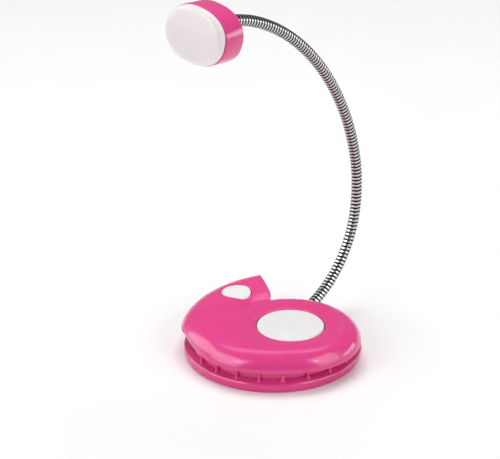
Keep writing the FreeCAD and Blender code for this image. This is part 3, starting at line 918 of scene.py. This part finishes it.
def head_axes():
    """Long, short and facing directions of the head."""
    rise, heading = math.radians(HEAD_RISE), math.radians(HEAD_HEADING)
    level = math.cos(rise)
    facing = np.array((-math.cos(heading) * level, -math.sin(heading) * level, math.sin(rise)))
    side = np.cross(UPWARD, facing)
    side /= np.linalg.norm(side)
    upward = np.cross(facing, side)
    roll = math.radians(HEAD_ROLL)
    long_axis = side * math.cos(roll) + upward * math.sin(roll)
    return long_axis, np.cross(facing, long_axis), facing


def oval_piece(name, profile, smooth_angle=40.0, around=160, closed=False):
    """A piece of the head through rounded ovals, each given as (inset, height above the back)."""
    long_axis, short_axis, facing = head_axes()
    end, angle = STATIONS[-1]
    back = end + neck_direction(angle) * HEAD_GAP - short_axis * HEAD_DROP
    points = []
    for inset, height in profile:
        even = min(inset, EVEN_INSET)
        shrink = (HEAD_LONG - inset) / (HEAD_LONG - even)
        long_half, short_half = (HEAD_LONG - even) * shrink, (HEAD_SHORT - even) * shrink
        for k in range(around):
            theta = TAU * k / around
            c, s = math.cos(theta), math.sin(theta)
            x = math.copysign(abs(c) ** (2 / HEAD_POWER), c) * long_half
            y = math.copysign(abs(s) ** (2 / HEAD_POWER), s) * short_half
            points.append(back + long_axis * x + short_axis * y + facing * height)
    faces = grid_faces(len(profile), around, close_rows=closed, close_columns=True)
    return mesh_piece(name, points, faces, smooth_angle)


def head_housing(material):
    profile = [(HEAD_LONG, 0.0), (0.0, 0.0), (0.0, HEAD_DEPTH), (HEAD_WALL, HEAD_DEPTH),
               (HEAD_WALL, 2.6), (HEAD_LONG, 1.5)]
    housing = oval_piece("head_shell", rounded(profile, 0.45, 4), 40)
    return finish_piece(housing, "head", material, "pink_plastic", "head_housing")


def diffuser(material):
    """A pillow of frosted plastic: a short upright rim, a round shoulder and a slightly crowned face."""
    low = HEAD_DEPTH + 0.2
    rim = 0.25
    crown = 0.45
    turn_z = HEAD_DEPTH + DIFFUSER_RISE - crown - DIFFUSER_FILLET
    profile = [(HEAD_WALL + 0.2, low - 1.4), (HEAD_WALL + 0.2, low), (rim + 0.15, low), (rim, low + 0.15)]
    fillet_steps = 16
    for k in range(fillet_steps + 1):
        angle = math.pi / 2 * k / fillet_steps
        inset = rim + DIFFUSER_FILLET * (1 - math.cos(angle))
        profile.append((inset, turn_z + DIFFUSER_FILLET * math.sin(angle)))
    face = HEAD_LONG - rim - DIFFUSER_FILLET
    face_steps = 24
    for k in range(1, face_steps + 1):
        t = k / face_steps
        height = turn_z + DIFFUSER_FILLET + crown * (1 - (1 - t) ** 2)
        profile.append((rim + DIFFUSER_FILLET + face * t, height))
    lens = oval_piece("domed_diffuser", profile, 50)
    return finish_piece(lens, "head", material, "frosted_diffuser", "diffuser")


# ---------------------------------------------------------------- spring

def clip_spring(material):
    """The coil between the jaw's floor and the case, squeezed as the clip opens."""
    low, high, radius, wire, turns = SPRING_LOW, SPRING_HIGH, SPRING_R, SPRING_WIRE_R, SPRING_TURNS
    centre = SPRING_AT
    steps, around = 260, 12
    points = []
    for i in range(steps + 1):
        t = i / steps
        angle = TAU * turns * t
        outward = np.array((math.cos(angle), math.sin(angle), 0.0))
        middle = np.array((*centre, low + (high - low) * t)) + outward * radius
        for k in range(around):
            theta = TAU * k / around
            points.append(middle + outward * wire * math.cos(theta) + UPWARD * wire * math.sin(theta))
    faces = grid_faces(steps + 1, around, close_columns=True)
    faces += [tuple(range(around)), tuple(range(steps * around, (steps + 1) * around))[::-1]]
    coil = mesh_piece("spring_coil", points, faces)
    coil.data.materials.append(material)
    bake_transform(coil)
    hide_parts("clip_spring")


# ---------------------------------------------------------------- set

def area_light(name, place, target, size, power, card=False):
    """A soft rectangular light, or a card that shows only in reflections."""
    data = bpy.data.lights.new(name, "AREA")
    data.shape = "RECTANGLE"
    data.size, data.size_y = size
    data.energy = power
    light = bpy.data.objects.new(name, data)
    bpy.context.scene.collection.objects.link(light)
    light.location = place
    light.rotation_euler = (Vector(target) - Vector(place)).to_track_quat("-Z", "Y").to_euler()
    light.visible_diffuse = not card
    light.visible_glossy = card


def studio():
    """A pale floor, soft lights from both sides and above, and the cards that the gloss reflects."""
    data = bpy.data.meshes.new("floor")
    half = 6.0
    corners = [(-half, -half, 0), (half, -half, 0), (half, half, 0), (-half, half, 0)]
    data.from_pydata(corners, [], [(0, 1, 2, 3)])
    floor = bpy.data.objects.new("floor", data)
    bpy.context.scene.collection.objects.link(floor)
    finish = Finish("floor_paper")
    finish.wire("Base Color", finish.ramp(finish.noise(9, 2), (0.90, 0.90, 0.90), (0.92, 0.92, 0.92)))
    finish.wire("Roughness", finish.spread(finish.noise(30), 0.75, 0.85))
    data.materials.append(finish.material)
    world = bpy.data.worlds.new("studio")
    bpy.context.scene.world = world
    world.use_nodes = True
    background = world.node_tree.nodes["Background"]
    background.inputs["Color"].default_value = (1, 1, 1, 1)
    background.inputs["Strength"].default_value = 0.24
    middle = (0.0, 0.0, 0.03)
    area_light("softbox_left", (-0.80, -0.55, 0.60), middle, (0.70, 0.60), 4.0)
    area_light("softbox_right", (0.80, -0.55, 0.60), middle, (0.70, 0.60), 3.4)
    area_light("softbox_top", (0.0, 0.40, 1.15), middle, (0.90, 0.60), 10.6)
    area_light("card_top", (0.0, 0.50, 1.05), middle, (0.90, 0.36), 1.6, card=True)
    area_light("card_left", (-0.80, -0.42, 0.52), middle, (0.85, 1.05), 9.0, card=True)
    area_light("card_far_left", (-0.92, 0.35, 0.50), middle, (0.80, 0.85), 6.5, card=True)
    area_light("card_right", (0.80, -0.42, 0.52), middle, (0.75, 1.05), 6.5, card=True)
    area_light("card_head", (0.95, 0.25, 0.14), middle, (0.60, 0.22), 1.6, card=True)
    area_light("bulb_left", (-0.62, -0.62, 0.66), middle, (0.09, 0.09), 0.6, card=True)
    area_light("bulb_right", (0.62, -0.62, 0.66), middle, (0.09, 0.09), 0.6, card=True)
    bpy.context.scene.view_settings.view_transform = "Standard"


def camera():
    data = bpy.data.cameras.new("camera")
    data.sensor_width = 36.0
    data.lens = CAMERA_LENS
    data.clip_start = 0.05
    view = bpy.data.objects.new("camera", data)
    bpy.context.scene.collection.objects.link(view)
    view.location = CAMERA_AT
    view.rotation_euler = (math.radians(90 - CAMERA_DOWN), 0, 0)
    bpy.context.scene.camera = view


# ---------------------------------------------------------------- build

camera()
studio()
pink = pink_plastic()
white = white_plastic()
frosted = frosted_plastic()
chrome = wound_chrome()
steel = brushed_metal("zinc_steel", (0.55, 0.55, 0.57))
nickel = brushed_metal("cell_nickel", (0.68, 0.67, 0.64))
brass = brushed_metal("contact_brass", (0.78, 0.60, 0.28))
board = board_resin()
black = grained("switch_black", (0.035, 0.035, 0.037), (0.02, 0.02, 0.022), 0.45)
insulation = grained("lead_insulation", (0.05, 0.05, 0.05), (0.03, 0.03, 0.03), 0.5)
phosphor = grained("led_phosphor", (0.95, 0.78, 0.30), (0.90, 0.70, 0.22), 0.4)

jaw_dish(pink)
top_shell(pink)
battery_cap(white)
power_button(white)
gooseneck(chrome)
boss_profile = [(0.0, 2.35), (0.0, 3.0), (0.75, 3.0), (0.9, 2.85), (0.97, 2.6), (0.97, 2.35)]
collar("neck_boss", -4.0, 0.9, boss_profile, pink, "case", "neck_socket")
collar_profile = [(0.0, 2.35), (0.0, 2.6), (0.05, 2.85), (0.15, 3.0), (1.0, 3.0), (1.0, 2.35)]
collar("head_collar", NECK_LENGTH - 0.6, NECK_LENGTH + 3.2, collar_profile, pink, "head", "head_ferrule")
head_housing(pink)
diffuser(frosted)
clip_spring(steel)

CARRIED = {
    "under_cover": pink, "hinge_pin": steel, "case_screws": steel, "coin_cell_lower": nickel,
    "coin_cell_upper": nickel, "contact_negative": brass, "contact_positive": brass, "circuit_board": board,
    "switch_body": black, "switch_plunger": white, "reflector": white, "led_board": board, "leds": phosphor,
}
for index in range(len(NECK_TURNS)):
    CARRIED["neck_lead_%d" % (index + 1)] = insulation
for node, finish_material in CARRIED.items():
    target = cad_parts[node]
    if not target.material_slots:
        target.data.materials.append(finish_material)
    for material_slot in target.material_slots:
        material_slot.material = finish_material

bpy.context.view_layer.update()
